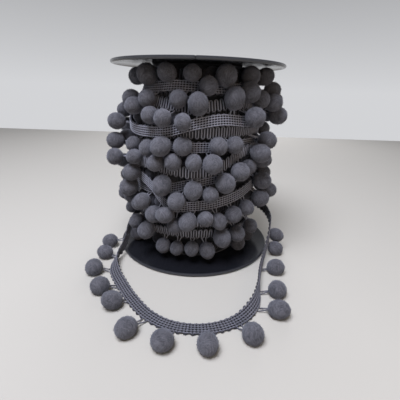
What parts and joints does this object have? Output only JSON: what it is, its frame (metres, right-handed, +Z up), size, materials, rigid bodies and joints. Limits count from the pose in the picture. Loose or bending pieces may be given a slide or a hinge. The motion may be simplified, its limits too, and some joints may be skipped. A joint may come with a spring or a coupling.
{
  "type": "pompom fringe trim on a spool",
  "caption": "Narrow crocheted tape with yarn balls along one edge, wound on a two-flange plastic spool that stands upright, one length pulled loose in front.",
  "frame": {"origin": "centre of the lower flange's flat underside, on the spool's axis", "axes": "+Z up along the spool's axis, -Y towards the loose length in front"},
  "size_m": [0.1884, 0.2469, 0.181],
  "materials": {
    "spool": "moulded black polystyrene, semi-gloss",
    "tape": "charcoal grey crochet-knit tape with crosswise ribs",
    "balls": "charcoal grey dense yarn balls"
  },
  "bodies": {
    "root": {"spool_base": "spool", "spool_top": "spool", "spool_core": "spool", "wound_body": "tape", "turn_01": "tape", "turn_02": "tape", "turn_03": "tape", "turn_04": "tape", "turn_05": "tape", "turn_06": "tape", "turn_07": "tape", "turn_08": "tape", "turn_09": "tape", "turn_10": "tape", "loose_tape": "tape", "loose_edge_1": "balls", "loose_edge_2": "balls", "loose_edge_3": "balls", "loose_edge_4": "balls"}
  },
  "joints": []
}
